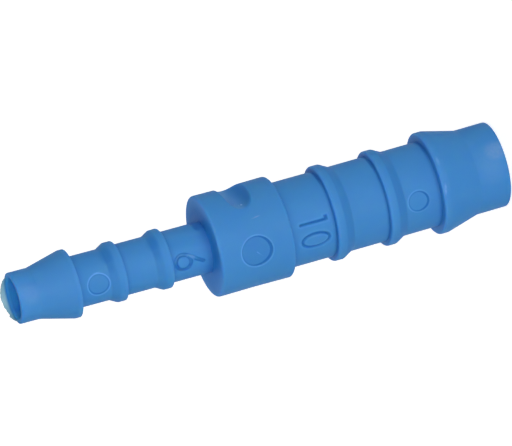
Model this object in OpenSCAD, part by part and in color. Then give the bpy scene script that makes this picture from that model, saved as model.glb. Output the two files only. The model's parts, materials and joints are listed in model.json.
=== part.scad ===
// Straight reducing hose adapter, moulded in one piece.
// A small and a large barbed hose tail meet at a plain round collar.
// It stands on the end face of the large tail, with the small tail up.
// All lengths are in millimetres and all angles in degrees.

/* [Small hose tail] */
// Outside diameter of the tube, the bore of the hose it takes
small_tube_d = 6; // [5:0.1:7]
// Wall of the tube
small_wall = 0.6; // [0.4:0.05:1]
// Length of the tail, from its mouth to the collar
small_tail_l = 23.25; // [21:0.25:30]
// Plain nose at the mouth
small_nose_l = 2.4; // [1:0.1:3]
// Length of the barb's cone
small_cone_l = 4; // [2:0.1:4.4]
// Flat land on top of the barb
small_barb_land = 0.6; // [0.3:0.05:0.9]
// Height of the barb above the tube
small_barb_rise = 1; // [0.6:0.05:1.4]
// Number of grip ridges behind the barb
small_ridges = 2; // [1:1:2]
// Distance from the barb's step to the first ridge's step
small_ridge_gap = 5.7; // [4.9:0.05:6.5]
// Distance from one ridge's step to the next one's
small_ridge_pitch = 5.55; // [3:0.05:6.5]
// Height of a ridge above the tube
small_ridge_rise = 0.5; // [0.3:0.05:0.8]
// Length of a ridge's slope, on the mouth side
small_ridge_slope = 0.9; // [0.6:0.05:1.2]
// Land on top of a ridge
small_ridge_land = 1; // [0.6:0.05:1.2]

/* [Large hose tail] */
// Outside diameter of the tube, the bore of the hose it takes
large_tube_d = 10; // [9:0.1:11]
// Wall of the tube
large_wall = 0.9; // [0.6:0.05:1.3]
// Length of the tail, from its mouth to the collar
large_tail_l = 26.95; // [25:0.25:34]
// Plain nose at the mouth
large_nose_l = 3.75; // [1:0.05:4.5]
// Length of the barb's cone
large_cone_l = 3.85; // [2:0.05:4.5]
// Land on top of the barb
large_barb_land = 0.8; // [0.5:0.05:1.5]
// Height of the barb above the tube
large_barb_rise = 1; // [0.6:0.05:1.4]
// Number of grip ridges behind the barb
large_ridges = 2; // [1:1:2]
// Distance from the barb's step to the first ridge's step
large_ridge_gap = 6.65; // [5.8:0.05:7.5]
// Distance from one ridge's step to the next one's
large_ridge_pitch = 6.5; // [3.5:0.05:7.5]
// Height of a ridge above the tube
large_ridge_rise = 0.6; // [0.4:0.05:0.9]
// Length of a ridge's slope, on the mouth side
large_ridge_slope = 1.1; // [0.7:0.05:1.4]
// Land on top of a ridge
large_ridge_land = 1.05; // [0.7:0.05:1.4]

/* [Collar and inside] */
// Diameter of the collar between the tails
collar_d = 11.9; // [11:0.1:14]
// Length of the collar
collar_l = 8.8; // [7:0.1:12]
// How far the thick collar has sunk at its middle while cooling, on the radius
collar_sink = 0.05; // [0.01:0.01:0.1]
// How far the large bore runs on inside the collar
large_bore_reach = 1; // [0.5:0.1:1.5]
// Slope of the funnel between the two bores, measured from the axis
funnel_angle = 50; // [40:1:60]
// Chamfer at the mouth of each bore
bore_chamfer = 0.1; // [0.05:0.01:0.15]

/* [Rounded edges] */
// Outer edge of the small mouth
small_mouth_round = 0.15; // [0.05:0.05:0.3]
// Outer edge of the large mouth
large_mouth_round = 0.25; // [0.1:0.05:0.35]
// Top edge of the small barb's step
small_step_round = 0.1; // [0.05:0.05:0.25]
// Top edge of the large barb's step
large_step_round = 0.25; // [0.05:0.05:0.4]
// Where a barb's cone turns into its nose or its land
cone_round = 0.6; // [0.2:0.1:1.5]
// Top edge of a ridge's step on the small tail
small_ridge_round = 0.25; // [0.1:0.05:0.3]
// Top edge of a ridge's step on the large tail
large_ridge_round = 0.3; // [0.1:0.05:0.4]
// Foot and crest of a ridge's slope
slope_round = 0.5; // [0.2:0.1:1]
// Root of each step, where it meets the tube
root_round = 0.08; // [0.03:0.01:0.12]
// Both edges of the collar
collar_round = 0.3; // [0.1:0.05:0.5]

/* [Moulding marks] */
// Diameter of the ejector pin mark on each tail
tail_mark_d = 2.6; // [1.5:0.1:2.8]
// Diameter of the ejector pin mark on the collar
collar_mark_d = 3.9; // [2:0.1:4.5]
// How far that mark lies from the collar's middle, towards the small tail
collar_mark_up = 0.2; // [-1:0.05:1]
// How deep the pins have pressed in
mark_depth = 0.05; // [0.02:0.01:0.08]
// Place of the small tail's mark, from the small mouth
small_mark_at = 9.2; // [8.6:0.05:9.4]
// Place of the large tail's mark, from the large mouth
large_mark_at = 11.3; // [10:0.05:11.5]
// Radius of the scooped notch where the mould was filled
gate_notch_r = 1.75; // [0.8:0.05:2]
// Depth of that notch in the collar
gate_notch_depth = 1.35; // [0.6:0.05:1.5]
// How far the notch lies from the collar's middle, towards the small tail
gate_notch_up = 0.35; // [-1:0.05:1]
// How far the notch's run leans from square to the axis
gate_notch_lean = 6; // [0:1:10]
// Height of the thin flash left standing at the small mouth
flash_h = 0.65; // [0.3:0.05:0.9]
// Thickness of the flash
flash_t = 0.1; // [0.08:0.01:0.15]
// How steeply the flash runs out to both sides
flash_slant = 22; // [15:1:30]
// Direction in which the flash stands, counted from +X
flash_dir = 110; // [60:5:160]

/* [Hidden] */

total_l = large_tail_l + collar_l + small_tail_l;
collar_mid = large_tail_l + collar_l / 2;
collar_r = collar_d / 2;
collar_mid_r = collar_r - collar_sink;
small_tube_r = small_tube_d / 2;
large_tube_r = large_tube_d / 2;
small_bore_r = small_tube_r - small_wall;
large_bore_r = large_tube_r - large_wall;
funnel_start = large_tail_l + large_bore_reach;
funnel_end = funnel_start + (large_bore_r - small_bore_r) / tan(funnel_angle);

// One step of an arc, and the spare length of a cutting shape
arc_step = 15;
spare = 1;
// The flash stands just outside the edge of the bore's chamfer
flash_r = small_bore_r + bore_chamfer + 0.02;
flash_root = 0.25;

function unit(v) = v / norm(v);

// The points that round corner p between its neighbours, with radius r.
// The arc takes at most 0.45 of either side, so close corners never cross.
function rounded(before, p, after, r) =
    let (
        u = unit(before - p),
        v = unit(after - p),
        half = acos(u * v) / 2,
        reach = min(r / tan(half), 0.45 * min(norm(before - p), norm(after - p))),
        arc_r = reach * tan(half),
        centre = p + unit(u + v) * arc_r / sin(half),
        from_c = p + u * reach - centre,
        side = sign(cross(v, u)),
        turn = 180 - 2 * half,
        steps = max(1, round(turn / arc_step)),
        start = atan2(from_c[1], from_c[0])
    )
    [for (i = [0 : steps])
        centre + arc_r * [cos(start + side * turn * i / steps),
                          sin(start + side * turn * i / steps)]];

// An outline from corners [radius, height, rounding], sharp where rounding is 0
function outline(corners) =
    let (n = len(corners), at = [for (c = corners) [c[0], c[1]]])
    [for (i = [0 : n - 1])
        each (corners[i][2] > 0
            ? rounded(at[(i + n - 1) % n], at[i], at[(i + 1) % n], corners[i][2])
            : [at[i]])];

// The corners of one grip ridge whose step is at distance step from the mouth
function ridge(tube_r, step, rise, slope, land, edge) = [
    [tube_r, step - land - slope, slope_round],
    [tube_r + rise, step - land, slope_round],
    [tube_r + rise, step, edge],
    [tube_r, step, root_round]
];

// The corners of a hose tail, as [radius, distance from the mouth, rounding]
function tail(tube_r, tail_l, mouth_edge, nose, cone, land, rise, step_edge,
              ridges, gap, pitch, ridge_rise, ridge_slope, ridge_land, ridge_edge) =
    let (step = nose + cone + land)
    [
        [tube_r, 0, mouth_edge],
        [tube_r, nose, cone_round],
        [tube_r + rise, nose + cone, cone_round],
        [tube_r + rise, step, step_edge],
        [tube_r, step, root_round],
        for (i = [0 : ridges - 1])
            each ridge(tube_r, step + gap + i * pitch, ridge_rise, ridge_slope,
                       ridge_land, ridge_edge),
        [tube_r, tail_l, root_round]
    ];

large_tail = tail(large_tube_r, large_tail_l, large_mouth_round, large_nose_l,
                  large_cone_l, large_barb_land, large_barb_rise, large_step_round,
                  large_ridges, large_ridge_gap, large_ridge_pitch, large_ridge_rise,
                  large_ridge_slope, large_ridge_land, large_ridge_round);

small_tail = tail(small_tube_r, small_tail_l, small_mouth_round, small_nose_l,
                  small_cone_l, small_barb_land, small_barb_rise, small_step_round,
                  small_ridges, small_ridge_gap, small_ridge_pitch, small_ridge_rise,
                  small_ridge_slope, small_ridge_land, small_ridge_round);

// The same tail seen from the other end: its mouth at the top of the adapter
small_tail_down = [for (i = [len(small_tail) - 1 : -1 : 0])
    [small_tail[i][0], total_l - small_tail[i][1], small_tail[i][2]]];

collar = [
    [collar_r, large_tail_l, collar_round],
    [collar_mid_r, collar_mid, collar_l],
    [collar_r, large_tail_l + collar_l, collar_round]
];

// The inside, from the small mouth down to the large one
inside = [
    [small_bore_r + bore_chamfer, total_l, 0],
    [small_bore_r, total_l - bore_chamfer, 0],
    [small_bore_r, funnel_end, 0],
    [large_bore_r, funnel_start, 0],
    [large_bore_r, bore_chamfer, 0],
    [large_bore_r + bore_chamfer, 0, 0]
];

// Tails, collar and bores in one turned outline
module turned_body() {
    rotate_extrude($fn = 96)
        polygon(outline(concat(large_tail, collar, small_tail_down, inside)));
}

// A round pin mark on the -Y side that follows the curve of its surface
module pin_mark(surface_r, height, d) {
    translate([0, 0, height])
        intersection() {
            rotate([90, 0, 0])
                cylinder(d = d, h = surface_r + spare, $fn = 64);
            difference() {
                cylinder(r = surface_r + spare, h = d + spare, center = true, $fn = 96);
                cylinder(r = surface_r - mark_depth, h = d + 2 * spare, center = true,
                         $fn = 96);
            }
        }
}

// The scoop at the filling point, run out nearly along the way the mould opened
module gate_notch() {
    translate([collar_r - gate_notch_depth + gate_notch_r, 0, collar_mid + gate_notch_up])
        rotate([90 + gate_notch_lean, 0, 0])
            cylinder(r = gate_notch_r, h = collar_d, center = true, $fn = 64);
}

// Thin film standing on the edge of the small bore, cut off by a slanting plane
module mouth_flash() {
    flash_out = flash_r + flash_t;
    rotate([0, 0, flash_dir])
        difference() {
            translate([0, 0, total_l - flash_root])
                difference() {
                    cylinder(r = flash_out, h = flash_root + flash_h, $fn = 96);
                    translate([0, 0, -spare])
                        cylinder(r = flash_r, h = flash_root + flash_h + 2 * spare,
                                 $fn = 96);
                }
            translate([flash_out, 0, total_l + flash_h])
                rotate([0, -flash_slant, 0])
                    translate([-2 * small_tube_d, -small_tube_d, 0])
                        cube([3 * small_tube_d, 2 * small_tube_d, small_tube_d]);
        }
}

module hose_adapter() {
    color([0.27, 0.52, 0.77])
        union() {
            difference() {
                turned_body();
                pin_mark(small_tube_r, total_l - small_mark_at, tail_mark_d);
                pin_mark(collar_mid_r, collar_mid + collar_mark_up, collar_mark_d);
                pin_mark(large_tube_r, large_mark_at, tail_mark_d);
                gate_notch();
            }
            mouth_flash();
        }
}

hose_adapter();
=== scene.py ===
"""Looks of a straight barbed hose adapter, moulded in one piece from blue acetal.

It stands on the end of its large tail, +Z up along its axis, the small tail on top.
The moulded size numbers and pin marks face -Y and the notch at the filling point faces +X.
Sizes are in millimetres until a mesh is made, and every mesh is in metres.
"""
import json
import bpy
import numpy as np
from mathutils import Matrix, Vector

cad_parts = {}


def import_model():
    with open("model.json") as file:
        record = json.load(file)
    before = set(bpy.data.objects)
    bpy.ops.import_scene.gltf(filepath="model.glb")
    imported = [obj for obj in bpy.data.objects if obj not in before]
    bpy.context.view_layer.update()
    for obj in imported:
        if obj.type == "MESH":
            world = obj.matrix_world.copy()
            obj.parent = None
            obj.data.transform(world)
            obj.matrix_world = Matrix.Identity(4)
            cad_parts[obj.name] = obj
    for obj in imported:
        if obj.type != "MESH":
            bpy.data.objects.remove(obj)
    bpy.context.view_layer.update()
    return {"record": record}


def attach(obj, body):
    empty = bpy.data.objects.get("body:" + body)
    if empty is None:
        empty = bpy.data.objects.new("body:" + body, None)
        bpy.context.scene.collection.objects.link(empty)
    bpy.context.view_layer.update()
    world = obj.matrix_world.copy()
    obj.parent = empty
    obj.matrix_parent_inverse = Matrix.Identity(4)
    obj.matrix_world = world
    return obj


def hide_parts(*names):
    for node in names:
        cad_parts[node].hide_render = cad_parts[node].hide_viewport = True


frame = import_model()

MM = 0.001

# Driving sizes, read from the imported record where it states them
mounts = {m["name"]: m for m in frame["record"]["mounts"]}
SMALL_TUBE_R = mounts["small_hose_tail"]["dims"]["r_mm"]
SMALL_TAIL_L = mounts["small_hose_tail"]["dims"]["length_mm"]
SMALL_BORE_R = mounts["small_bore"]["dims"]["r_mm"]
LARGE_TUBE_R = mounts["large_hose_tail"]["dims"]["r_mm"]
LARGE_TAIL_L = mounts["large_hose_tail"]["dims"]["length_mm"]
LARGE_BORE_R = mounts["large_bore"]["dims"]["r_mm"]
TOTAL_L = mounts["small_hose_tail"]["pos_m"][2] / MM

# The collar: its upper face lies COLLAR_EXTRA above the place where the small tail's stated
# length ends, and its side sinks by COLLAR_SINK half way up
COLLAR_R = 5.95
COLLAR_EXTRA = 0.12
COLLAR_TOP = TOTAL_L - SMALL_TAIL_L + COLLAR_EXTRA
COLLAR_L = COLLAR_TOP - LARGE_TAIL_L
COLLAR_MID = (LARGE_TAIL_L + COLLAR_TOP) / 2
COLLAR_SINK = 0.05
COLLAR_ROUND = 0.3

# Barb and ridges of each tail, measured from its mouth: a plain nose, the barb's cone and
# land, the gap from its step to the first ridge's, and the pitch from ridge to ridge. Each
# name with edge in it is the radius of a rounding
SMALL_TAIL = dict(tube_r=SMALL_TUBE_R, tail_l=TOTAL_L - COLLAR_TOP, mouth_edge=0.15, nose=2.4,
                  cone=4.0, land=0.6, rise=1.0, step_edge=0.1, gap=5.7, pitch=5.55,
                  ridge_rise=0.5, ridge_slope=0.9, ridge_land=1.0, ridge_edge=0.25)
LARGE_TAIL = dict(tube_r=LARGE_TUBE_R, tail_l=LARGE_TAIL_L, mouth_edge=0.25, nose=3.75,
                  cone=3.85, land=0.97, rise=1.0, step_edge=0.25, gap=6.48, pitch=6.5,
                  ridge_rise=0.6, ridge_slope=1.1, ridge_land=1.05, ridge_edge=0.3)
RIDGES = 2
CONE_ROUND = 0.6
SLOPE_ROUND = 0.5
ROOT_ROUND = 0.08

# The bore, whose two widths meet in a funnel, and how far below the small mouth it has
# extra rings, because the light changes quickly there
BORE_CHAMFER = 0.1
FUNNEL_SLOPE = np.radians(50)
FUNNEL_START = LARGE_TAIL_L + 1.0
FUNNEL_END = FUNNEL_START + (LARGE_BORE_R - SMALL_BORE_R) / np.tan(FUNNEL_SLOPE)
BORE_RINGS = (0.4, 0.7, 1.1)

# Places of the marks and numbers, as an angle from -Y towards +X and a height. Each pin
# mark also has the radius r of the surface it lies on, the width of the line of shade
# painted inside its lip, the side where that is widest, and how strong the highlight
# painted on its lip is
SMALL_MARK = dict(r=SMALL_TUBE_R, mid=(1.05, TOTAL_L - 9.36), radius=1.27, depth=0.05, line=0.17,
                  dark=85, lip=0.6)
COLLAR_MARK = dict(r=COLLAR_R - COLLAR_SINK, mid=(-0.1, COLLAR_MID + 0.04), radius=1.88,
                   depth=0.1, line=0.33, dark=17, lip=0.46)
LARGE_MARK = dict(r=LARGE_TUBE_R, mid=(1.6, 11.3), radius=1.27, depth=0.04, line=0.25, dark=15,
                  lip=0.3)
SIX_AT = (-0.35, 39.41)
TEN_AT = (0.4, 25.84)

# The scoop where the mould was filled, part of a cylinder: its radius and depth, the place
# of its axis, and how far that leans
NOTCH_R = 1.58
NOTCH_DEPTH = 1.35
NOTCH_X = COLLAR_R - NOTCH_DEPTH + NOTCH_R
NOTCH_Z = COLLAR_MID + 0.15
NOTCH_LEAN = np.radians(1)

# The angle where the thin film at the small mouth stands highest
FLASH_MIDDLE = 201.0

# The real adapter is a little bowed: how far its ends lie towards +X from its middle
BOW = 0.2

# The line at +X and -X where the mould's halves met
SEAM_DEPTH, SEAM_HALF_WIDTH = 0.015, 0.06

# How shaded the steps are that face down, and the ridge slopes that face up and down
SHADE_DOWN = 0.45
SHADE_SLOPE = {-1: 0.12, 1: 0.32}

# The angle from which the steps' shadows deepen towards +X, and over how many degrees
SHADOW_FROM, SHADOW_OVER = 38, 34

# How far a grid point may lie above a tube's radius and still count as on the tube
ON_TUBE = 0.02

# The photograph's view of the adapter: angle from -Y towards +X, and height
VIEW_AZIMUTH, VIEW_ELEVATION = 21.0, 15.4


# Shapes. Where a function gives shade or light, its widths are in millimetres, and its
# strengths, from 0 to 1, were matched to the photograph

def rounded(before, p, after, r, steps):
    """Corner p rounded with an arc of radius r that touches both sides. The arc takes at
    most 0.45 of either side."""
    u = (before - p) / np.hypot(*(before - p))
    v = (after - p) / np.hypot(*(after - p))
    half = np.arccos(np.clip(u @ v, -1, 1)) / 2
    reach = min(r / np.tan(half), 0.45 * min(np.hypot(*(before - p)), np.hypot(*(after - p))))
    arc_r = reach * np.tan(half)
    middle = (u + v) / np.hypot(*(u + v))
    centre = p + middle * arc_r / np.sin(half)
    first = p + u * reach - centre
    side = np.sign(v[0] * u[1] - v[1] * u[0])
    turn = side * (np.pi - 2 * half) * np.linspace(0, 1, steps + 1)
    angle = np.arctan2(first[1], first[0]) + turn
    return centre + arc_r * np.stack([np.cos(angle), np.sin(angle)], axis=1)


def tail_corners(tube_r, tail_l, mouth_edge, nose, cone, land, rise, step_edge, gap, pitch,
                 ridge_rise, ridge_slope, ridge_land, ridge_edge):
    """Corners of a hose tail as (radius, distance from its mouth, rounding)."""
    step = nose + cone + land
    corners = [(tube_r, 0, mouth_edge), (tube_r, nose, CONE_ROUND),
               (tube_r + rise, nose + cone, CONE_ROUND), (tube_r + rise, step, step_edge),
               (tube_r, step, ROOT_ROUND)]
    for i in range(RIDGES):
        top = step + gap + i * pitch
        corners += [(tube_r, top - ridge_land - ridge_slope, SLOPE_ROUND),
                    (tube_r + ridge_rise, top - ridge_land, SLOPE_ROUND),
                    (tube_r + ridge_rise, top, ridge_edge), (tube_r, top, ROOT_ROUND)]
    return corners + [(tube_r, tail_l, ROOT_ROUND)]


def adapter_corners():
    """The closed outline: up the outside from the large mouth, and down the bore."""
    small = [(r, TOTAL_L - z, e) for r, z, e in tail_corners(**SMALL_TAIL)][::-1]
    collar = [(COLLAR_R, LARGE_TAIL_L, COLLAR_ROUND),
              (COLLAR_R - COLLAR_SINK, COLLAR_MID, COLLAR_L),
              (COLLAR_R, COLLAR_TOP, COLLAR_ROUND)]
    rings = [(SMALL_BORE_R, TOTAL_L - down, 0) for down in (BORE_CHAMFER, *BORE_RINGS)]
    bore = [(SMALL_BORE_R + BORE_CHAMFER, TOTAL_L, 0), *rings,
            (SMALL_BORE_R, FUNNEL_END, 0), (LARGE_BORE_R, FUNNEL_START, 0),
            (LARGE_BORE_R, BORE_CHAMFER, 0), (LARGE_BORE_R + BORE_CHAMFER, 0, 0)]
    return tail_corners(**LARGE_TAIL) + collar + small, bore


# Heights between which the outside carries fine detail, with the spacing of its rings
# there, the spacing elsewhere, and the steps of a rounding and of the collar's long arc
MARK_BANDS = [(9.9, 12.7, 0.07), (22.0, 26.05, 0.055), (29.2, 33.9, 0.07),
              (36.5, 40.75, 0.055), (48.2, 51.1, 0.07)]
PLAIN_SPACING = 2.5
ROUND_STEPS, ARC_STEPS = 5, 40


def step_roots():
    """Each upright step as (height of its root, +1 or -1 for the way it faces, radius at
    its foot, radius at its top, width of the lit line along its top edge, extra width of
    its shadow towards +X)."""
    roots = [(LARGE_TAIL_L, -1, LARGE_TUBE_R, COLLAR_R, 0.14, 0),
             (COLLAR_TOP, 1, SMALL_TUBE_R, COLLAR_R, 0.14, 1.0)]
    for tail, side, mouth in ((SMALL_TAIL, -1, TOTAL_L), (LARGE_TAIL, 1, 0)):
        foot = tail["tube_r"]
        first = tail["nose"] + tail["cone"] + tail["land"]
        roots.append((mouth + side * first, side, foot, foot + tail["rise"], 0.4, 0.16))
        for i in range(RIDGES):
            at = first + tail["gap"] + i * tail["pitch"]
            roots.append((mouth + side * at, side, foot, foot + tail["ridge_rise"], 0.3, 0.13))
    return roots


# Close rings beside each step too, where the light changes within a few tenths
STEP_BANDS = [(*sorted((root - 0.4 * side, root + 0.65 * side)), 0.12)
              for root, side, *_ in step_roots()]
FINE_BANDS = MARK_BANDS + STEP_BANDS


def spaced(a, b, inside):
    """Points from a to just before b, close together where a fine band crosses them."""
    cuts = {0.0, 1.0}
    rise = b[1] - a[1]
    if not inside and abs(rise) > 1e-6:
        for low, high, _ in FINE_BANDS:
            cuts |= {t for t in ((low - a[1]) / rise, (high - a[1]) / rise) if 0 < t < 1}
    cuts = sorted(cuts)
    at = []
    for t0, t1 in zip(cuts[:-1], cuts[1:]):
        z = a[1] + rise * (t0 + t1) / 2
        step = PLAIN_SPACING
        if not inside and abs(rise) > 1e-6:
            step = min([s for low, high, s in FINE_BANDS if low < z < high] + [step])
        count = max(1, int(np.ceil(np.hypot(*(b - a)) * (t1 - t0) / step)))
        at.append(np.linspace(t0, t1, count, endpoint=False))
    t = np.concatenate(at)[:, None]
    return a + (b - a) * t


def adapter_outline():
    """Points of the closed outline, and for each whether it lies on the outside: the arcs
    at its rounded corners, and points along the straight runs between them."""
    outside, bore = adapter_corners()
    corners = outside + bore
    at = np.array([c[:2] for c in corners], float)
    n = len(corners)
    bends = []
    for i, (_, _, edge) in enumerate(corners):
        if edge:
            steps = ARC_STEPS if edge == COLLAR_L else ROUND_STEPS
            bends.append(rounded(at[i - 1], at[i], at[(i + 1) % n], edge, steps))
        else:
            bends.append(at[i][None])
    points, outer = [], []
    for i in range(n):
        run = spaced(bends[i][-1], bends[(i + 1) % n][0], i >= len(outside) - 1)
        both = np.concatenate([bends[i][:-1], run])
        points.append(both)
        outer.append(np.full(len(both), i < len(outside)))
    return np.concatenate(points), np.concatenate(outer)


def ring_angles():
    """Angles round the axis from -Y towards +X: closest on the marked front, close round
    the notch at +X, wide elsewhere."""
    parts = [(-27, 27, 0.75), (27, 48, 3.0), (48, 132, 1.8), (132, 333, 5.6)]
    return np.concatenate([np.linspace(a, b, int(round((b - a) / s)), endpoint=False)
                           for a, b, s in parts])


def smooth(x):
    """0 below 0, 1 above 1, and a smooth S between."""
    x = np.clip(x, 0, 1)
    return x * x * (3 - 2 * x)


def segment_distance(x, y, a, b):
    """Distance of each point from the straight line between a and b."""
    dx, dy = b[0] - a[0], b[1] - a[1]
    t = np.clip(((x - a[0]) * dx + (y - a[1]) * dy) / (dx * dx + dy * dy), 0, 1)
    return np.hypot(x - a[0] - t * dx, y - a[1] - t * dy)


def box_distance(x, y, low, high):
    """How far each point lies outside an upright rectangle, negative inside it."""
    return np.maximum(np.abs(x - (low[0] + high[0]) / 2) - (high[0] - low[0]) / 2,
                      np.abs(y - (low[1] + high[1]) / 2) - (high[1] - low[1]) / 2)


def groove(distance, width, wall):
    """1 along the middle of a moulded line and 0 outside it, with sloping walls."""
    return smooth((width / 2 + wall / 2 - distance) / wall)


def bell(x, width):
    """1 at 0, falling off to both sides as a bell curve of that half width."""
    return np.exp(-(x / width) ** 2)


def number_six(front, z):
    """The 6 beside the collar: a ring with a straight slanting stem that leaves its left
    side. Its top points to the large tail and it reads from +X to -X. Gives its depth, the
    shade painted in it, and the highlight painted on its floor: the shade lies along its
    walls and is darkest on the floor at the right of the ring and at the stem's end, and
    the highlight lies along the stem's first half and in a fine line on the ring."""
    x = -np.radians(front - SIX_AT[0]) * SMALL_TUBE_R
    y = SIX_AT[1] - z
    ring_r, stem_l, slant = 0.9, 2.2, np.radians(32.5)
    width, wall, groove_depth = 0.38, 0.09, 0.2
    along = np.array([np.sin(slant), np.cos(slant)])
    start = ring_r * np.array([-np.cos(slant), np.sin(slant)])
    stem = segment_distance(x, y, start, start + stem_l * along)
    ring = np.abs(np.hypot(x, y) - ring_r)
    near = np.minimum(ring, stem)
    inside = groove(near, width, wall)
    walls = bell(near - width / 2 + 0.03, 0.07)
    run = ((x - start[0]) * along[0] + (y - start[1]) * along[1]) / stem_l
    on_stem = smooth((ring - stem) / 0.2 + 0.5)
    # Painted shade: darkest on the floor at the right of the ring and at the stem's end
    floor = (0.4 + 0.45 * smooth((x - 0.3 * y + 0.15) / 0.6)) * (1 - on_stem)
    floor += 0.62 * smooth((run - 0.55) / 0.2) * on_stem
    shade_and_speck = 0.9 * np.maximum(0.8 * walls, floor * inside)
    # Painted highlight along the stem's first half and in a fine line on the ring, which also
    # lightens the shade there
    pale = 0.25 * on_stem * smooth((run + 0.03) / 0.15) * smooth((0.6 - run) / 0.2)
    pale += 0.1 * (1 - on_stem) * smooth((-x - y) / (0.7 * ring_r) - 0.8) * bell(ring, 0.07)
    pale *= inside
    return groove_depth * inside, shade_and_speck * (1 - 2.4 * pale), pale


def number_ten(front, z):
    """The 10 below the collar: a 1 with a short flag and a tall oval 0. Gives its depth,
    the shade painted in its grooves, and the highlight painted along its outer edges. The
    distance from the oval is its implicit value over the length of that value's gradient."""
    x = -np.radians(front - TEN_AT[0]) * LARGE_TUBE_R
    y = TEN_AT[1] - z
    width, wall, groove_depth = 0.25, 0.1, 0.22
    stem = segment_distance(x, y, (-1.16, 0.2), (-1.16, 3.3))
    flag = box_distance(x, y, (-1.58, 3.14), (-1.06, 3.46))
    half_w, half_h, mid_x, mid_y = 0.83, 1.63, 1.0, 1.76
    px, py = (x - mid_x) / half_w, (y - mid_y) / half_h
    size = np.hypot(px, py)
    slope = np.hypot(px / half_w, py / half_h) / np.maximum(size, 1e-6)
    oval = np.abs(size - 1) / np.maximum(slope, 1e-6)
    line = np.minimum(stem, oval)
    inside = np.maximum(groove(line, width, wall), groove(flag, 0, wall))
    edge = np.minimum(line - width / 2, flag)
    # Painted shade in the grooves, and a painted highlight along their outer edges
    shade_and_speck = 0.83 * smooth((0.08 - edge) / 0.12)
    return groove_depth * inside, shade_and_speck, 0.12 * bell(edge - 0.2, 0.07)


def pin_mark(front, z, r, mid, radius, depth, line, dark, lip):
    """A round pin mark: a shallow floor that follows the surface, inside a fine raised lip.
    Gives its depth, the shade painted in it, and the highlight painted on its lip. dark is
    the angle of one side, counted from -Z towards -X: there the floor is a little deeper and
    the line of painted shade inside the lip widest, and the highlight on the lip is
    strongest opposite it."""
    x = r * np.sin(np.radians(front - mid[0]))
    away = np.hypot(1.04 * x, z - mid[1])
    facing = np.cos(np.radians(front - mid[0])) > 0
    dark = np.radians(dark)
    lean = np.clip((np.cos(dark) * (mid[1] - z) - np.sin(dark) * x) / radius, -1, 1)
    lip_height, narrowest = 0.012, 0.11
    floor = depth * (1 + 0.35 * lean) * groove(away, 2 * radius, 0.1)
    raised = bell(away - radius - 0.08, 0.06)
    line_w = narrowest + (line - narrowest) * smooth((lean + 0.3) / 1.1)
    # Painted shade: a line inside the lip, widest on the dark side, and on the floor of a deeper
    # mark
    edge = smooth((radius - away) / 0.05) * smooth((away - radius + line_w + 0.06) / 0.09)
    edge *= 4 * line * (0.8 + 0.4 * lean)
    shade_and_speck = np.maximum(edge, 3.6 * (depth - 0.04) * groove(away, 2 * radius, 0.1))
    # The highlight painted on the lip, strongest opposite the dark side
    light = raised * (lip - 0.2 * lean)
    return [np.where(facing, part, 0) for part in (floor - lip_height * raised, shade_and_speck, light)]


def mark_scratch(front, z):
    """A fine pale scratch across the collar's pin mark, fading to one end, with a dark
    speck beside its start. Gives its depth, how dark its speck is, and how pale its scratch."""
    x = COLLAR_MARK["r"] * np.sin(np.radians(front))
    y = z - COLLAR_MARK["mid"][1]
    line = segment_distance(x, y, (-0.1, 0.03), (-0.72, -0.55))
    light = 0.75 * bell(line, 0.035) * (1 - 0.75 * smooth(-(y + 0.05) / 0.35))
    return 0 * x, 0.5 * bell(np.hypot(x + 0.24, y - 0.1), 0.07), light


def notch_radius(front, z):
    """Distance from the adapter's axis at which a line going outwards at that angle and
    height enters the notch: the nearer root of the quadratic for its leaning cylinder.
    It is far outside where the line misses the notch."""
    turn = np.radians(front)
    across = np.sin(turn)
    along = np.cos(turn) * np.sin(NOTCH_LEAN)
    rise = (z - NOTCH_Z) * np.cos(NOTCH_LEAN)
    square = across ** 2 + along ** 2
    half = NOTCH_X * across - rise * along
    inside = half ** 2 - square * (NOTCH_X ** 2 + rise ** 2 - NOTCH_R ** 2)
    met = (inside > 0) & (across > 0.3)
    return np.where(met, (half - np.sqrt(np.maximum(inside, 0))) / square, 2 * COLLAR_R)


def step_shade(r, z, front):
    """How shaded the surface is beside each step, how much of the light on the step's face
    came through the plastic, and how lit the face is. The shade on the tube is a bell curve
    of the distance from the root, wider beside a taller step, with a crisper shadow added
    towards +X. The face is darkest at its root and lightest at its top."""
    shade, through, lit = np.zeros_like(r), np.zeros_like(r), np.zeros_like(r)
    turned = smooth((front - SHADOW_FROM) / SHADOW_OVER) * (front < 180)
    for root, side, foot, top, _, cast in step_roots():
        beside = (z - root) * side
        full = 0.8 + 0.1 * turned if side > 0 else 0.8 * SHADE_DOWN
        reach = (0.1 + 0.24 * (top - foot)) * (1 if side > 0 else 2)
        near = full * bell(np.maximum(beside, 0), reach)
        if side > 0:
            edge = 0.2 + 0.3 * cast
            shadow = smooth((0.16 + cast * turned - beside) / edge + 0.5)
            near = np.maximum(near, (0.95 - 0.2 * cast) * turned * shadow)
        shade = np.maximum(shade, near * (beside > 0.02))
        height = np.clip((r - foot) / (top - foot), 0, 1)
        face = smooth((beside + 0.12) / 0.1) * smooth((0.1 - beside) / 0.1)
        face *= 1 if side > 0 else SHADE_DOWN
        open_to_light = np.clip(0.1 + (top - foot) / 2.5, 0, 1)
        through = np.maximum(through, open_to_light * face * (1 - smooth((height - 0.9) / 0.1)))
        shade = np.maximum(shade, face * (0.3 + 0.5 * turned) * (1 - 0.7 * height))
        lit = np.maximum(lit, 0.4 * face * smooth((height - 0.55) / 0.45))
    return shade, through, lit


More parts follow.
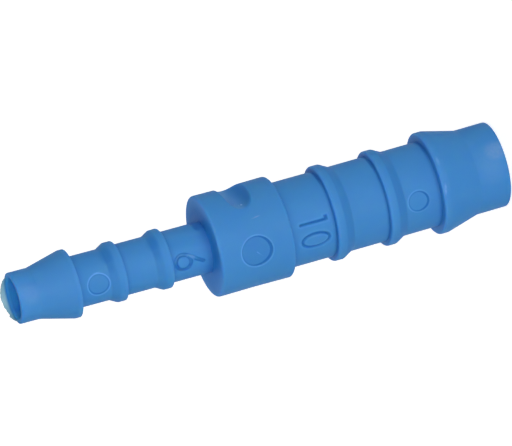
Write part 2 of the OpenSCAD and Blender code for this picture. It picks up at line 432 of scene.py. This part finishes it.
def slope_shade(r, z):
    """How shaded the slopes are that lead up to the ridges, with soft ends."""
    shade = np.zeros_like(r)
    for tail, side, mouth in ((SMALL_TAIL, -1, TOTAL_L), (LARGE_TAIL, 1, 0)):
        first = tail["nose"] + tail["cone"] + tail["land"]
        for i in range(RIDGES):
            top = first + tail["gap"] + i * tail["pitch"]
            middle = top - tail["ridge_land"] - tail["ridge_slope"] / 2
            away = np.abs((z - mouth) * side - middle)
            slope = smooth((tail["ridge_slope"] / 2 + 0.2 - away) / 0.5)
            shade = np.maximum(shade, slope * SHADE_SLOPE[side])
    return shade


def edge_light(r, z):
    """1 along the top edge of each upright step, where the light it catches is painted as a
    narrow line of highlight.
    """
    light = np.zeros_like(r)
    for root, side, _, top, width, _ in step_roots():
        beside = (root - z) * side
        line = bell(np.maximum(beside - 0.12, 0), width) * smooth((r - top + 0.25) / 0.2)
        light = np.maximum(light, line * (beside > -0.02))
    return light


def bowed(points):
    """The same points moved towards +X by a parabola in height whose mean is 0."""
    along = points[..., 2] / (TOTAL_L / 2) - 1
    moved = points.copy()
    moved[..., 0] += BOW * (along ** 2 - 1 / 3)
    return moved


def front_marks(front, z, on_small, on_collar, on_large):
    """The numbers, the pin marks and the scratch, each only on its own part: the depth that
    they take from the radius together, and at each point the strongest of the shade painted
    in them and the scratch's dark speck, the strongest of the highlights painted on them and
    the pale scratch, and the highlight painted in the 6."""
    six_depth, six_shade, six_pale = number_six(front, z)
    marks = [(on_small, (six_depth, six_shade, 0)),
             (on_large, number_ten(front, z)),
             (on_small, pin_mark(front, z, **SMALL_MARK)),
             (on_collar, pin_mark(front, z, **COLLAR_MARK)),
             (on_collar & (np.abs(front) < 60), mark_scratch(front, z)),
             (on_large, pin_mark(front, z, **LARGE_MARK))]
    depth, sunk, light = np.zeros((3, *z.shape))
    for where, (cut, shade_and_speck, bright) in marks:
        depth += np.where(where, cut, 0)
        sunk = np.maximum(sunk, np.where(where, shade_and_speck, 0))
        light = np.maximum(light, np.where(where, bright, 0))
    return depth, sunk, light, np.where(on_small, six_pale, 0)


def notched(r, front, z, on_collar):
    """The radius once the notch has cut it, how far each point has gone over to the notch,
    the shade painted on its lower wall, and how much paler it is: a little all over for its
    rough, broken surface, and more on its upper wall, where light is painted. The radius
    passes from the collar's to the notch's over an edge that is softer above, where the
    notch is rough."""
    cut = notch_radius(front, z)
    soft = 0.06 + 0.2 * smooth((z - NOTCH_Z) / NOTCH_R)
    near = np.where(on_collar, np.clip(0.5 + (r - cut) / (2 * soft), 0, 1), 0)
    below = smooth((NOTCH_Z - z) / 1.6 + 0.35)
    # Painted shade on the lower wall, and painted light on the upper wall over a slight pallor of
    # the rough surface
    shade = 0.33 * (smooth((r - cut) / 0.5) * (near > 0)) * below
    torn = near * (0.02 + 0.22 * (1 - below))
    return r * (1 - near) + cut * near - soft * near * (1 - near), near, shade, torn


def adapter_surface():
    """Grid of points: each outline point turned round the axis. On the outside the radius
    then loses the depth of the marks, the numbers and the parting line, and the notch cuts
    it. Also gives the numbers between 0 and 1 that the material reads at each point, most
    of them light and shade painted into the colour: the light that comes through the
    plastic there and down the bore (through, inner), the shade beside the steps, on the
    slopes and in the notch, the shade painted in the marks with the scratch's dark speck,
    the highlights painted on edges, lips and the rim with the pale scratch, the light
    painted in the 6 and the notch, whose rough surface is also a little paler, and where
    it has its satin shine."""
    outline, outer = adapter_outline()
    outer = outer[:, None]
    front = ring_angles()[None, :]
    turn = np.radians(front)
    r = np.repeat(outline[:, :1], front.shape[1], axis=1)
    z = outline[:, 1:2] + 0 * front
    on_small = outer & (z > COLLAR_TOP) & (r < SMALL_TUBE_R + ON_TUBE)
    on_large = outer & (z < LARGE_TAIL_L) & (r < LARGE_TUBE_R + ON_TUBE)
    on_collar = outer & (z > LARGE_TAIL_L + COLLAR_ROUND) & (z < COLLAR_TOP - COLLAR_ROUND)

    # Painted shade, light through the plastic and highlights beside the steps and on the slopes
    # outside
    shade, through, lit = step_shade(r, z, front)
    shade = np.where(outer, np.maximum(shade, slope_shade(r, z)), 0)
    thin = np.where(outer, np.maximum(lit, 0.14 * edge_light(r, z)), 0)

    # Light painted on the rim of the small mouth, lightest opposite the film, on the side that
    # faces the front lamp, and in the bore below it, where more and more of the light comes
    # through the wall
    at_mouth = bell(z - TOTAL_L, 0.12)
    lit_rim_side = 0.5 - 0.5 * np.cos(np.radians(front - FLASH_MIDDLE))
    beside = np.abs(np.sin(np.radians(front - FLASH_MIDDLE))) ** 3
    deep_in = smooth((TOTAL_L - 0.3 - z) / 0.8)
    on_rim = (0.15 + 0.32 * lit_rim_side) * at_mouth
    through = np.where(outer, np.maximum(through, on_rim), 0.3 + 0.5 * deep_in)
    thin = np.maximum(thin, np.where(outer, 0.25 * at_mouth * lit_rim_side, 0))
    inner = np.maximum(deep_in * (0.85 + 0.15 * np.sin(turn)), 0.3 * beside)
    inner = np.where(outer, 0, inner)

    # Marks, parting line and notch, with the shade and light painted in the marks and the notch
    depth, sunk, light, torn = front_marks(front, z, on_small, on_collar, on_large)
    thin = np.maximum(thin, light)
    seam = np.minimum(np.abs(front - 90), np.abs(front - 270))
    depth += np.where(outer, SEAM_DEPTH * bell(np.radians(seam) * r, SEAM_HALF_WIDTH), 0)
    r, near, notch_shade, notch_light_and_torn = notched(r - depth, front, z, on_collar)
    shade = np.maximum(shade, notch_shade)
    through = np.maximum(through, 0.32 * near)
    torn = np.maximum(torn, notch_light_and_torn)
    satin = 1 - np.maximum(np.maximum(through, np.where(outer, at_mouth, 1)), near)
    points = np.stack([r * np.sin(turn), -r * np.cos(turn), z], axis=2)
    return bowed(points), dict(through=through, inner=inner, shade=shade, sunk=sunk,
                               thin=thin, torn=torn, satin=satin)


def add_number(piece, name, values):
    """Stores one number per mesh point, which the material reads by its name."""
    store = piece.data.attributes.new(name, "FLOAT", "POINT")
    store.data.foreach_set("value", values.ravel().astype(np.float32))


def grid_mesh(name, points, close_rows, close_columns):
    """A mesh object over a grid of points in millimetres, its faces wound outwards."""
    rows, columns = points.shape[:2]
    index = np.arange(rows * columns).reshape(rows, columns)
    if close_rows:
        index = np.concatenate([index, index[:1]])
    if close_columns:
        index = np.concatenate([index, index[:, :1]], axis=1)
    quads = np.stack([index[:-1, :-1], index[:-1, 1:], index[1:, 1:], index[1:, :-1]], axis=2)
    quads = quads.reshape(-1, 4)
    mesh = bpy.data.meshes.new(name)
    mesh.vertices.add(rows * columns)
    mesh.vertices.foreach_set("co", (points.reshape(-1, 3) * MM).ravel())
    mesh.loops.add(quads.size)
    mesh.loops.foreach_set("vertex_index", quads.ravel())
    mesh.polygons.add(len(quads))
    mesh.polygons.foreach_set("loop_start", np.arange(0, quads.size, 4))
    mesh.polygons.foreach_set("use_smooth", np.ones(len(quads), bool))
    mesh.update(calc_edges=True)
    mesh.validate()
    piece = bpy.data.objects.new(name, mesh)
    bpy.context.scene.collection.objects.link(piece)
    return piece


# The edge of the thin film at the small mouth: angle round the axis, height above the rim
FLASH_EDGE = [(118, -0.1), (125, 0.08), (136, 0.34), (158, 0.51), (181, 0.71), (192, 0.79),
              (205, 0.7), (218, 0.66), (233, 0.49), (242, 0.41), (248, 0.56), (253, 0.52),
              (257, 0.42), (266, 0.36), (278, 0.27), (288, 0.12), (294, -0.1)]


def flash_surface():
    """Thin film on the rim of the small bore: a strip that runs round the rim, rooted just
    below it, its section a narrow upright loop. Its height follows straight lines between
    the points of its ragged edge, roughened by noise that is averaged over five points."""
    inner_r, thick, root = SMALL_BORE_R + BORE_CHAMFER + 0.02, 0.1, -0.2
    columns, roughness, least = 161, 0.04, 0.02
    angles, heights = np.array(FLASH_EDGE).T
    along = np.linspace(angles[0], angles[-1], columns)
    rng = np.random.default_rng(7)
    rough = np.convolve(rng.normal(0, 1, columns + 4), np.ones(5) / 5, "valid")
    top = np.interp(along, angles, heights) + roughness * rough
    top = np.maximum(top, root + least)
    up = np.array([0, 0.35, 0.7, 0.92, 1, 1, 0.92, 0.7, 0.35, 0])
    out = np.array([0, 0, 0, 0.06, 0.3, 0.7, 0.94, 1, 1, 1])
    z = TOTAL_L + root + (top - root)[:, None] * up[None, :]
    r = inner_r + thick * out[None, :] + 0 * z
    front = np.radians(along)[:, None]
    return bowed(np.stack([r * np.sin(front), -r * np.cos(front), z], axis=2))


# Materials

def linear(hex_colour):
    """An sRGB hex colour as linear red, green, blue and full alpha."""
    c = np.array([int(hex_colour[i:i + 2], 16) for i in (1, 3, 5)]) / 255
    c = np.where(c <= 0.04045, c / 12.92, ((c + 0.055) / 1.055) ** 2.4)
    return (*c.tolist(), 1.0)


def add(tree, kind, at=None, links=(), **settings):
    """Adds a node. at sets inputs by name or number, links are (input, socket) pairs."""
    node = tree.nodes.new(kind)
    for key, value in settings.items():
        setattr(node, key, value)
    for key, value in (at or {}).items():
        node.inputs[key].default_value = value
    for key, socket in links:
        tree.links.new(node.inputs[key], socket)
    return node


def empty_tree(owner):
    """The node tree of a new material or world, with nothing in it yet."""
    owner.use_nodes = True
    owner.node_tree.nodes.clear()
    return owner.node_tree


def new_material(name):
    """A node material with a plain Principled surface: (material, tree, surface)."""
    material = bpy.data.materials.new(name)
    tree = empty_tree(material)
    surface = add(tree, "ShaderNodeBsdfPrincipled")
    add(tree, "ShaderNodeOutputMaterial", links=[("Surface", surface.outputs[0])])
    return material, tree, surface


def surface_spot(tree, place, front, z, r, half, turn=0):
    """A soft oval patch on the surface as a mask from 0 to 1: centred at that angle,
    height and radius, with half sizes in millimetres around and along, and turned."""
    a = np.radians(front)
    at = np.array([r * np.sin(a), -r * np.cos(a), z]) * MM
    size = np.array([half[0], 1.0, half[1]]) * MM
    local = add(tree, "ShaderNodeMapping",
                {"Location": at.tolist(), "Rotation": (0, np.radians(turn), a),
                 "Scale": size.tolist()}, [("Vector", place)], vector_type="TEXTURE")
    away = add(tree, "ShaderNodeVectorMath", links=[(0, local.outputs[0])], operation="LENGTH")
    mask = add(tree, "ShaderNodeMapRange",
               {"From Min": 1.0, "From Max": 0.3, "To Min": 0.0, "To Max": 1.0},
               [("Value", away.outputs["Value"])], interpolation_type="SMOOTHSTEP")
    return mask.outputs[0]


def spots(tree, place, patches):
    """The strongest of several patches at each point. Each patch is (strength, angle,
    height, radius, half sizes, turn)."""
    total = None
    for strength, *patch in patches:
        mask = add(tree, "ShaderNodeMath", {1: strength},
                   [(0, surface_spot(tree, place, *patch))], operation="MULTIPLY").outputs[0]
        if total is not None:
            mask = add(tree, "ShaderNodeMath", links=[(0, mask), (1, total)],
                       operation="MAXIMUM").outputs[0]
        total = mask
    return total


# Patches as (strength, angle, height, radius, half sizes, turn): pale patches, one of them
# a scuff on the collar; glints painted where an edge or the notch's rough spot shines;
# and shade painted on the ridges' flanks, with two specks of dirt
PALE_PATCHES = [(0.155, 39.5, 0.95, 5.0, (1.6, 2.0), 0), (0.06, 22.0, 57.8, 3.0, (1.9, 1.75), 0),
          (0.035, 22.0, 1.9, 5.0, (4.2, 2.2), 0), (0.2, 37.2, 30.62, 5.93, (0.1, 0.68), -8)]
SHINY = [(0.24, 10.5, 8.2, 6.0, (0.95, 0.2), 8), (0.14, 42.5, 8.14, 6.0, (0.8, 0.24), 0),
         (0.8, 63.0, 31.38, 5.37, (0.2, 0.18), 0), (0.3, 62.5, 31.72, 5.37, (0.34, 0.07), 0)]
SHADE_AND_DIRT = [(0.6, 57.5, 42.4, 3.4, (2.1, 0.95), 0), (0.6, 58.0, 48.0, 3.4, (2.1, 0.95), 0),
          (0.35, 34.0, 42.3, 3.4, (1.3, 0.55), 0), (0.35, 34.0, 47.9, 3.4, (1.3, 0.55), 0),
          (0.6, -23.2, 46.8, 3.5, (0.12, 0.1), 0), (0.8, -44.9, 41.4, 3.5, (0.15, 0.12), 0)]


def moulded_acetal():
    """Acetal, injection moulded in a fine spark-eroded mould. The eye sees an even satin
    blue with a soft broad shine, faintly clouded over some 7 mm where the melt flowed.
    Light spreads up to a millimetre inside it, so that shaded places glow a deeper blue."""
    material, tree, surface = new_material("moulded_acetal")
    place = add(tree, "ShaderNodeTexCoord").outputs["Object"]
    flow = add(tree, "ShaderNodeTexNoise", {"Scale": 1 / 0.007, "Detail": 3.0, "Roughness": 0.5},
               [("Vector", place)])
    tint = add(tree, "ShaderNodeMix", {6: linear("#3B7FBD"), 7: linear("#4087C4")},
               [(0, flow.outputs["Fac"])], data_type="RGBA")

    # Pale patches and painted glints are broken up over 0.3 mm
    uneven = add(tree, "ShaderNodeTexNoise", {"Scale": 1 / 0.0003, "Detail": 3.0},
                 [("Vector", place)])
    uneven = add(tree, "ShaderNodeMapRange",
                 {"From Min": 0.35, "From Max": 0.6, "To Min": 0.65, "To Max": 1.0},
                 [("Value", uneven.outputs["Fac"])])
    pale_patches, shiny = [add(tree, "ShaderNodeMath", operation="MULTIPLY",
                         links=[(0, spots(tree, place, patches)), (1, uneven.outputs[0])]
                         ).outputs[0] for patches in (PALE_PATCHES, SHINY)]

    def stored(name):
        return add(tree, "ShaderNodeAttribute", attribute_name=name).outputs["Fac"]

    # Colours laid over the plain blue one after another, each as strong as its mask. Most of
    # them paint light and shade into the colour: light through the plastic and down the
    # bore, shade beside the steps, on the slopes, in the notch, on the ridges' flanks and in
    # the marks, and highlights on edges, lips, the rim, the 6, the notch and in glints.
    # Besides these they carry specks of dirt, a scratch, a scuff, a slight pallor where the
    # notch is rough, and some pale patches
    layers = [(stored("through"), "#348CDC"), (stored("inner"), "#54C0FF"),
              (stored("shade"), "#1A5BA2"), (spots(tree, place, SHADE_AND_DIRT), "#1E6EB4"),
              (stored("sunk"), "#1C64AC"), (stored("thin"), "#66A8E8"),
              (stored("torn"), "#84B0E0"), (pale_patches, "#B4C4D0"), (shiny, "#A4D2F8")]
    for mask, colour in layers:
        tint = add(tree, "ShaderNodeMix", {7: linear(colour)},
                   [(0, mask), (6, tint.outputs[2])], data_type="RGBA")
    tree.links.new(surface.inputs["Base Color"], tint.outputs[2])

    # The mould's eroded skin, its grain drawn as coarse as 0.35 mm so that it shows at all
    grain = add(tree, "ShaderNodeTexNoise", {"Scale": 1 / 0.00035, "Detail": 2.0},
                [("Vector", place)])
    shine = add(tree, "ShaderNodeMapRange",
                {"From Min": 0.3, "From Max": 0.7, "To Min": 0.45, "To Max": 0.53},
                [("Value", grain.outputs["Fac"])])
    tree.links.new(surface.inputs["Roughness"], shine.outputs[0])
    bump = add(tree, "ShaderNodeBump", {"Strength": 0.25, "Distance": 0.00002},
               [("Height", grain.outputs["Fac"])])
    tree.links.new(surface.inputs["Normal"], bump.outputs[0])

    # The satin shine comes from a weak rough coat, kept off the bore, the mouth's rim, the
    # steps' faces and the notch. A trace of blue sheen lightens the sides
    surface.inputs["IOR"].default_value = 1.48
    surface.inputs["Specular IOR Level"].default_value = 0.022
    surface.inputs["Specular Tint"].default_value = linear("#A8CCF5")
    coat = add(tree, "ShaderNodeMath", {1: 0.054}, [(0, stored("satin"))], operation="MULTIPLY")
    tree.links.new(surface.inputs["Coat Weight"], coat.outputs[0])
    surface.inputs["Coat Roughness"].default_value = 0.62
    surface.inputs["Coat IOR"].default_value = 3.0
    surface.inputs["Sheen Weight"].default_value = 0.1
    surface.inputs["Sheen Roughness"].default_value = 0.5
    surface.inputs["Sheen Tint"].default_value = linear("#2060FF")

    # Red light goes 0.12 mm into the blue plastic, green 0.4 mm and blue a whole millimetre
    surface.inputs["Subsurface Weight"].default_value = 0.7
    surface.inputs["Subsurface Radius"].default_value = (0.12, 0.4, 1.0)
    surface.inputs["Subsurface Scale"].default_value = MM
    return material


def flash_film():
    """The same plastic as a film a tenth of a millimetre thick. So little pigment lies in
    the light's way that it looks pale and greenish."""
    material, tree, surface = new_material("acetal_flash_film")
    place = add(tree, "ShaderNodeTexCoord").outputs["Object"]
    cloud = add(tree, "ShaderNodeTexNoise", {"Scale": 1 / 0.0006, "Detail": 3.0},
                [("Vector", place)])
    tint = add(tree, "ShaderNodeMix", {6: linear("#6C96A8"), 7: linear("#7EA8B4")},
               [(0, cloud.outputs["Fac"])], data_type="RGBA")

    # Just above the rim the film is thicker, and still nearly as blue as the body
    height = add(tree, "ShaderNodeSeparateXYZ", links=[(0, place)]).outputs["Z"]
    root = add(tree, "ShaderNodeMapRange",
               {"From Min": (TOTAL_L + 0.05) * MM, "From Max": (TOTAL_L + 0.3) * MM,
                "To Min": 1.0, "To Max": 0.0}, [("Value", height)])
    tint = add(tree, "ShaderNodeMix", {7: linear("#3C84B4")},
               [(0, root.outputs[0]), (6, tint.outputs[2])], data_type="RGBA")
    tree.links.new(surface.inputs["Base Color"], tint.outputs[2])
    surface.inputs["Roughness"].default_value = 0.5
    surface.inputs["IOR"].default_value = 1.48
    return material


def seen_directly(tree):
    """1 for rays from the camera and those that gloss or glass sends on, and 0 for the
    rays by which the floor or the sky lights the adapter."""
    path = add(tree, "ShaderNodeLightPath")
    seen = add(tree, "ShaderNodeMath", links=[(0, path.outputs["Is Camera Ray"]),
                                              (1, path.outputs["Is Glossy Ray"])],
               operation="MAXIMUM")
    seen = add(tree, "ShaderNodeMath", links=[(0, seen.outputs[0]),
                                              (1, path.outputs["Is Transmission Ray"])],
               operation="MAXIMUM")
    return seen.outputs[0]


def white_floor():
    """Matt white card that reflects 0.7 of the light. To the camera it also glows, just
    enough to look plain white, and the adapter's shadow still darkens it."""
    material = bpy.data.materials.new("white_floor")
    tree = empty_tree(material)
    lift = add(tree, "ShaderNodeMath", {1: 0.75}, [(0, seen_directly(tree))],
               operation="MULTIPLY")
    glow = add(tree, "ShaderNodeEmission", {"Color": (1, 1, 1, 1)},
               [("Strength", lift.outputs[0])])
    matt = add(tree, "ShaderNodeBsdfDiffuse", {"Color": (0.7, 0.7, 0.7, 1)})
    both = add(tree, "ShaderNodeAddShader", links=[(0, glow.outputs[0]), (1, matt.outputs[0])])
    add(tree, "ShaderNodeOutputMaterial", links=[("Surface", both.outputs[0])])
    return material


# The adapter

points, numbers = adapter_surface()
adapter = grid_mesh("adapter_body", points, True, True)
for name, values in numbers.items():
    add_number(adapter, name, values)
adapter.data.materials.append(moulded_acetal())
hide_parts("hose_adapter")
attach(adapter, "root")

flash = grid_mesh("mouth_flash", flash_surface(), False, True)
flash.data.materials.append(flash_film())
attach(flash, "root")


# Floor, light and camera

def floor():
    """A large flat square at the height of the large mouth's end face."""
    size = 3000.0
    corners = np.array([[[-size, -size, 0], [size, -size, 0]], [[-size, size, 0], [size, size, 0]]])
    piece = grid_mesh("floor", corners, False, False)
    piece.data.materials.append(white_floor())


# Strength of the world's light near the horizon and overhead
WORLD_LOW, WORLD_HIGH = 0.22, 0.2


def world():
    """White light from low all round and less from overhead, and plain white where the
    camera sees it."""
    scene_world = bpy.data.worlds.new("studio")
    bpy.context.scene.world = scene_world
    tree = empty_tree(scene_world)
    towards = add(tree, "ShaderNodeTexCoord").outputs["Generated"]
    height = add(tree, "ShaderNodeSeparateXYZ", links=[(0, towards)])
    light = add(tree, "ShaderNodeMapRange",
                {"From Min": 0.3, "From Max": 0.8, "To Min": WORLD_LOW, "To Max": WORLD_HIGH},
                [("Value", height.outputs["Z"])], interpolation_type="SMOOTHSTEP")
    level = add(tree, "ShaderNodeMix", {"B": 1.0},
                [("Factor", seen_directly(tree)), ("A", light.outputs[0])])
    sky = add(tree, "ShaderNodeBackground", {"Color": (1, 1, 1, 1)},
              [("Strength", level.outputs[0])])
    add(tree, "ShaderNodeOutputWorld", links=[("Surface", sky.outputs[0])])


def direction(azimuth, elevation):
    """Unit vector from the object towards a point at that azimuth, counted from -Y
    towards +X, and height above the horizon, in degrees."""
    a, e = np.radians([azimuth, elevation])
    return Vector((np.sin(a) * np.cos(e), -np.cos(a) * np.cos(e), np.sin(e)))


def soft_box(name, azimuth, elevation, distance, size, level):
    """A square area lamp that faces the adapter. level is what it adds to the brightness
    of a white surface that faces it."""
    data = bpy.data.lights.new(name, "AREA")
    data.shape = "SQUARE"
    data.size = size
    data.energy = level * np.pi ** 2 * distance ** 2
    lamp = bpy.data.objects.new(name, data)
    bpy.context.scene.collection.objects.link(lamp)
    towards = direction(azimuth, elevation)
    lamp.location = Vector((0, 0, TOTAL_L / 2 * MM)) + towards * distance
    lamp.rotation_euler = towards.to_track_quat("Z", "Y").to_euler()


# The photograph: 512 pixels wide, the axis' middle at MIDDLE_PX, and the direction from
# the large mouth to the small one at AXIS_ANGLE, counted from image right upwards
FRAME_PX = (512, 446)
MIDDLE_PX = (256.1, 231.85)
AXIS_ANGLE = 195.6
PX_PER_MM = 8.79
VIEW_DISTANCE = 0.93


def camera():
    """Long lens, at the photograph's angle, rolled so that the adapter's axis lies as it
    does there."""
    back = direction(VIEW_AZIMUTH, VIEW_ELEVATION)
    axis_up = (Vector((0, 0, 1)) - back * back.z).normalized()
    axis_side = back.cross(axis_up)
    roll = np.radians(AXIS_ANGLE)
    right = axis_up * np.cos(roll) - axis_side * np.sin(roll)
    up = axis_up * np.sin(roll) + axis_side * np.cos(roll)
    aim = Vector((0, 0, TOTAL_L / 2 * MM))
    aim += right * ((FRAME_PX[0] / 2 - MIDDLE_PX[0]) / PX_PER_MM * MM)
    aim += up * ((MIDDLE_PX[1] - FRAME_PX[1] / 2) / PX_PER_MM * MM)
    data = bpy.data.cameras.new("camera")
    data.sensor_width = 36.0
    data.lens = PX_PER_MM * VIEW_DISTANCE / MM * data.sensor_width / FRAME_PX[0]
    data.clip_start = 0.05
    data.clip_end = 20.0
    view = bpy.data.objects.new("camera", data)
    bpy.context.scene.collection.objects.link(view)
    view.matrix_world = Matrix.Translation(aim + back * VIEW_DISTANCE) @ Matrix(
        (right, up, back)).transposed().to_4x4()
    bpy.context.scene.camera = view


floor()
world()
soft_box("front_soft_box", VIEW_AZIMUTH - 2.5, 7, 1.4, 0.45, 0.84)
soft_box("left_soft_box", VIEW_AZIMUTH - 70, 10, 1.4, 0.9, 0.21)
soft_box("right_soft_box", VIEW_AZIMUTH + 70, 10, 1.4, 0.9, 0.142)
soft_box("back_soft_box", VIEW_AZIMUTH + 180, 40, 1.4, 0.9, 0.25)
camera()
bpy.context.scene.view_settings.view_transform = "Standard"
